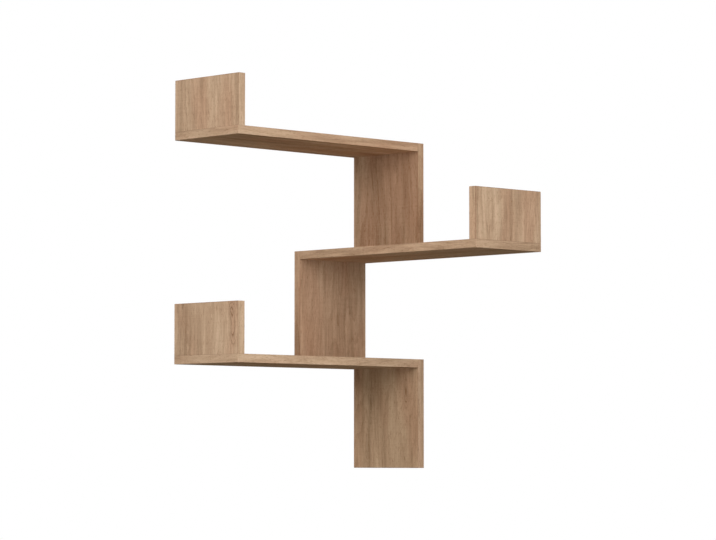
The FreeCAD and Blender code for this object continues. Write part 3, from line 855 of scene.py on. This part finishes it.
# %% [markdown]
# ## The connecting screws
#
# The uprights are screwed to the shelves with confirmats, the coarse one-piece screws of flat-pack
# furniture. Below the countersunk head comes a smooth collar as thick as the hole, and then a thin
# core with a sharp, steep thread that cuts its own way into the chipboard.
#
# The core is drawn out of the head, step by step, like the small screw. The thread starts as one
# small triangle beside the core, and a Screw modifier winds it along the axis. A triangle in a
# circle of radius 1 is 1.5 high, with sides of the square root of 3, and is scaled down from that.

# %% Turn the core and cut its socket
CONFIRMAT_SINK = 0.0002
CONFIRMAT_HEAD, COLLAR_RADIUS, CORE_RADIUS, TIP_RADIUS = 0.00495, 0.0034, 0.0024, 0.0012
CONFIRMAT_STEPS = [
    (0.0001, CONFIRMAT_HEAD), (0.00165, COLLAR_RADIUS), (0.0100, COLLAR_RADIUS),
    (0.0106, CORE_RADIUS), (0.0465, CORE_RADIUS), (0.0500, TIP_RADIUS),
]
KEY_WIDTH, KEY_DEPTH = 0.004, 0.003

confirmat = set_down(
    bpy.ops.mesh.primitive_circle_add, vertices=32, radius=CONFIRMAT_HEAD, fill_type="NGON",
    location=(0, -CONFIRMAT_SINK, 0), rotation=(math.pi / 2, 0, 0),
)
pick("faces", lambda face: True)
draw_out(CONFIRMAT_STEPS, -CONFIRMAT_SINK, CONFIRMAT_HEAD)
cut_out(confirmat, set_down(
    bpy.ops.mesh.primitive_cylinder_add, vertices=6, radius=KEY_WIDTH / math.sqrt(3),
    depth=2 * KEY_DEPTH, location=(0, -CONFIRMAT_SINK, 0), rotation=(math.pi / 2, 0, 0),
))

# %% Wind the thread
THREAD_START, THREAD_PITCH, THREAD_TURNS, STEPS_A_TURN = 0.0130, 0.003, 10, 24
CREST_RADIUS, ROOT_RADIUS, THREAD_FOOT = 0.0034, 0.0023, 0.0015

thread = set_down(
    bpy.ops.mesh.primitive_circle_add, vertices=3, radius=1.0, fill_type="NOTHING",
    rotation=(0, 0, -math.pi / 2),
)
pick("verts", lambda vert: True)
bpy.ops.transform.resize(
    value=((CREST_RADIUS - ROOT_RADIUS) / 1.5, THREAD_FOOT / math.sqrt(3), 1), center_override=(1, 0, 0)
)
bpy.ops.transform.translate(value=(CREST_RADIUS - 1, -THREAD_START, 0))
bpy.ops.object.mode_set(mode="OBJECT")
winding = thread.modifiers.new("winding", "SCREW")
winding.axis = "Y"
winding.screw_offset = -THREAD_PITCH
winding.iterations = THREAD_TURNS
winding.steps = STEPS_A_TURN
winding.render_steps = STEPS_A_TURN
bpy.ops.object.modifier_apply(modifier=winding.name)
bpy.ops.object.mode_set(mode="EDIT")
bpy.ops.mesh.select_all(action="SELECT")
bpy.ops.mesh.fill_holes(sides=3)
bpy.ops.mesh.normals_make_consistent(inside=False)
bpy.ops.object.mode_set(mode="OBJECT")
confirmat.select_set(True)
bpy.context.view_layer.objects.active = confirmat
bpy.ops.object.join()
bpy.ops.object.mode_set(mode="EDIT")
put_away(confirmat, "confirmat", PLATED_STEEL)

# %% [markdown]
# ## The dowels
#
# A dowel is a round beech rod whose ends are pointed a little, so that it finds its hole, and whose
# side is pressed into flutes that let the glue run past it. Every fourth side face is a flute, and
# is pushed towards the axis.

# %% Press the dowel
DOWEL_RADIUS, DOWEL_LENGTH, DOWEL_POINT = 0.0039, 0.035, 0.0009
DOWEL_SIDES, FLUTE_EVERY, FLUTE_SHARE = 64, 4, 0.92
DOWEL_STEPS = [
    (DOWEL_POINT, DOWEL_RADIUS),
    (DOWEL_LENGTH - DOWEL_POINT, DOWEL_RADIUS),
    (DOWEL_LENGTH, DOWEL_RADIUS - DOWEL_POINT),
]

dowel = set_down(
    bpy.ops.mesh.primitive_circle_add, vertices=DOWEL_SIDES, radius=DOWEL_RADIUS - DOWEL_POINT,
    fill_type="NGON", rotation=(math.pi / 2, 0, 0),
)
pick("faces", lambda face: True)
draw_out(DOWEL_STEPS, 0.0, DOWEL_RADIUS - DOWEL_POINT)


def is_flute(face):
    """Whether a face of the dowel is one of its long side faces, and the fourth in a row."""
    middle = face.calc_center_median()
    number = round(math.atan2(middle.z, middle.x) / (2 * math.pi) * DOWEL_SIDES - 0.5)
    return abs(face.normal.y) < 0.1 and number % FLUTE_EVERY == 0


print("flutes:", pick("faces", is_flute))
bpy.ops.transform.resize(value=(FLUTE_SHARE, 1, FLUTE_SHARE), center_override=(0, 0, 0))
bpy.ops.mesh.select_all(action="SELECT")
bpy.ops.transform.rotate(value=math.pi / 2, orient_axis="X", center_override=(0, 0, 0))
bpy.ops.mesh.select_all(action="SELECT")
bpy.ops.mesh.normals_make_consistent(inside=False)
put_away(dowel, "dowel", BEECH)

# %% [markdown]
# Each tier has two screws through its upright, and two dowels in its end board. The two upper tiers
# have two more dowels each, under the upright.

# %% Fit screws and dowels
JOINT_HEIGHT = TIER_HEIGHT - BOARD / 2
SCREWS_OUT, DOWELS_OUT = (0.035, 0.185), (0.030, 0.190)
DOWEL_LOWER_END = 0.012


def carry_pair(pattern, node, tier, along, outs, height, turns=0):
    """Two copies for one node, the nearer one to the wall first."""
    for side, out in zip(("wall", "front"), outs):
        copy = carry(pattern, f"{tier}_{node}_{side}", in_room(along, out, height, tier), turns)
        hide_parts(node)


for tier, (_, on_right_wall) in TIERS.items():
    turns = 1 if on_right_wall else 0
    carry_pair(confirmat, "confirmat_screws", tier, 0, SCREWS_OUT, JOINT_HEIGHT, turns)
    end_board_foot = TIER_HEIGHT - DOWEL_LOWER_END
    carry_pair(dowel, "end_board_dowels", tier, END_MIDDLE, DOWELS_OUT, end_board_foot)
    if tier != "bottom":
        carry_pair(dowel, "upright_dowels", tier, BOARD / 2, DOWELS_OUT, -DOWEL_LOWER_END)
for pattern in (confirmat, dowel):
    bpy.data.objects.remove(pattern)

# %% [markdown]
# ## Floor, world and lamps
#
# The unit is shown as in a product picture, on plain white. It hangs on a wall that isn't shown, so
# the floor lies more than a metre below it. The world is white to the camera, to reflections and to
# what is seen through glass, and for everything else it is a weak, even light.
#
# The lamps are large, so their shadows are soft. Most of the light comes from in front, from the
# camera and both sides of it, a little above level. It reaches the open end boards freely, while
# the uprights lie in the shade of the shelves that they carry. A low lamp lifts the undersides of
# the shelves, and two high lamps and one overhead light their tops. The last lamp lights the side
# at the wall, which only shows when the unit is looked at from behind. To find the powers, the unit
# was rendered with each lamp alone, and the pictures were mixed until light and shade came close to
# the photograph.
#
# Light that falls on the floor comes back up as well. For that light the floor is a warmer and
# darker one than the camera sees.

# %% Rays that see the studio itself
DIRECT_RAYS = ("Is Camera Ray", "Is Glossy Ray", "Is Transmission Ray")


def seen_directly(nodes, links):
    """1 for rays from the camera, and for what shows in a mirror or through glass; 0 for light."""
    path = nodes.new("ShaderNodeLightPath")
    share = path.outputs[DIRECT_RAYS[0]]
    for ray in DIRECT_RAYS[1:]:
        larger = nodes.new("ShaderNodeMath")
        larger.operation = "MAXIMUM"
        links.new(share, larger.inputs[0])
        links.new(path.outputs[ray], larger.inputs[1])
        share = larger.outputs[0]
    return share


# %% Floor
FLOOR_LEVEL, FLOOR_SIDE = -1.6, 40
FLOOR_GLOW, FLOOR_ROUGHNESS, SPOTS = 0.60, 0.9, 0.5
FLOOR_SHOWN = colour(236, 235, 233), colour(240, 239, 237)
FLOOR_BOUNCE = colour(160, 152, 138)
WHITE = (1.0, 1.0, 1.0, 1.0)

bpy.ops.object.select_all(action="DESELECT")
bpy.ops.mesh.primitive_plane_add(size=FLOOR_SIDE, location=(0, 0, FLOOR_LEVEL))
floor = bpy.context.object
floor.name = "floor"
pale = new_material("pale floor")
direct = seen_directly(pale.node_tree.nodes, pale.node_tree.links)
here = add(pale, "ShaderNodeTexCoord").outputs["Object"]
spots = add(pale, "ShaderNodeTexNoise", Vector=here, Scale=SPOTS)
shown_tint = blend_colours(pale, spots.outputs["Fac"], *FLOOR_SHOWN)
surface = shader_of(pale).inputs
feed(pale, surface["Base Color"], blend_colours(pale, direct, FLOOR_BOUNCE, shown_tint))
surface["Roughness"].default_value = FLOOR_ROUGHNESS
surface["Emission Color"].default_value = WHITE
feed(pale, surface["Emission Strength"], calculate(pale, "MULTIPLY", direct, FLOOR_GLOW))
floor.data.materials.append(pale)
floor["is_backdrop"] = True
print("floor at", FLOOR_LEVEL, "m")

# %% World
# The even light is slightly yellow, which keeps the shaded undersides as warm as in the photograph.
ROOM_LIGHT = 0.113
ROOM_TINT = (0.98, 1.0, 0.75, 1.0)

world = bpy.data.worlds.new("studio")
bpy.context.scene.world = world
world.use_nodes = True
even = world.node_tree.nodes["Background"]
even.inputs["Color"].default_value = ROOM_TINT
even.inputs["Strength"].default_value = ROOM_LIGHT
white = world.node_tree.nodes.new("ShaderNodeBackground")
white.inputs["Color"].default_value = WHITE
white.inputs["Strength"].default_value = 1.0
mixed = world.node_tree.nodes.new("ShaderNodeMixShader")
links = world.node_tree.links
links.new(seen_directly(world.node_tree.nodes, links), mixed.inputs["Fac"])
links.new(even.outputs[0], mixed.inputs[1])
links.new(white.outputs[0], mixed.inputs[2])
links.new(mixed.outputs[0], world.node_tree.nodes["World Output"].inputs["Surface"])
print("room light", ROOM_LIGHT)


# %% Lamps
LAMP_DISTANCE, LAMP_SIDE, LAMP_SPREAD = 3.6, 2.0, math.radians(60)
MIDDLE = Vector((0.25, -0.25, 0.45))
# The angle round from +X towards -Y and the angle up, in degrees, and the power in watts.
LAMPS = {
    "right lamp": (10, 11, 6.3),
    "left lamp": (80, 12, 6.0),
    "camera lamp": (45, 18, 6.0),
    "low lamp": (45, -20, 4.4),
    "high right lamp": (10, 45, 2.8),
    "high left lamp": (110, 45, 3.9),
    "overhead lamp": (0, 89, 13.0),
    "wall side lamp": (225, 20, 20.0),
}


def lamp(name, round_about, up, watts):
    """A square lamp that faces the unit's middle."""
    turn, rise = math.radians(round_about), math.radians(up)
    way = Vector((math.cos(rise) * math.cos(turn), -math.cos(rise) * math.sin(turn), math.sin(rise)))
    light = bpy.data.lights.new(name, "AREA")
    light.size = LAMP_SIDE
    light.spread = LAMP_SPREAD
    light.energy = watts
    holder = bpy.data.objects.new(name, light)
    holder.location = MIDDLE + way * LAMP_DISTANCE
    holder.rotation_euler = way.to_track_quat("Z", "Y").to_euler()
    bpy.context.scene.collection.objects.link(holder)
    print(name, watts, "W")


for name, (round_about, up, watts) in LAMPS.items():
    lamp(name, round_about, up, watts)

# %% [markdown]
# ## The camera
#
# The picture was taken from far away with a long lens, at the height of the unit's lower end, and
# looks a little upwards. These numbers come from matching the corners of the boards in the
# photograph with the corners of the model, to about a tenth of a pixel.

# %% Camera
CAMERA_PLACE = Vector((5.292315, -5.172838, 0.026206))
CAMERA_AIM = Vector((-0.7141747, 0.6972301, 0.0618442))
SENSOR_WIDTH, FOCAL_LENGTH = 36.0, 151.756

camera_data = bpy.data.cameras.new("camera")
camera_data.sensor_fit = "HORIZONTAL"
camera_data.sensor_width = SENSOR_WIDTH
camera_data.lens = FOCAL_LENGTH
camera_data.clip_end = 100.0
camera = bpy.data.objects.new("camera", camera_data)
camera.location = CAMERA_PLACE
camera.rotation_euler = CAMERA_AIM.to_track_quat("-Z", "Y").to_euler()
bpy.context.scene.collection.objects.link(camera)
bpy.context.scene.camera = camera
bpy.context.scene.view_settings.view_transform = "Standard"
print("camera", round(CAMERA_PLACE.length, 2), "m from the corner")

# %% [markdown]
# ## Is it still the same size?
#
# The finish must not make the unit larger. The box of the model as it was loaded is taken from the box of
# what is shown now, and the growth is printed.

# %% Compare the two boxes
shown_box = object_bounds()
growth = (shown_box[1] - shown_box[0]) - (cad_box[1] - cad_box[0])
print("growth in mm:", [round(1000 * side, 3) for side in growth])
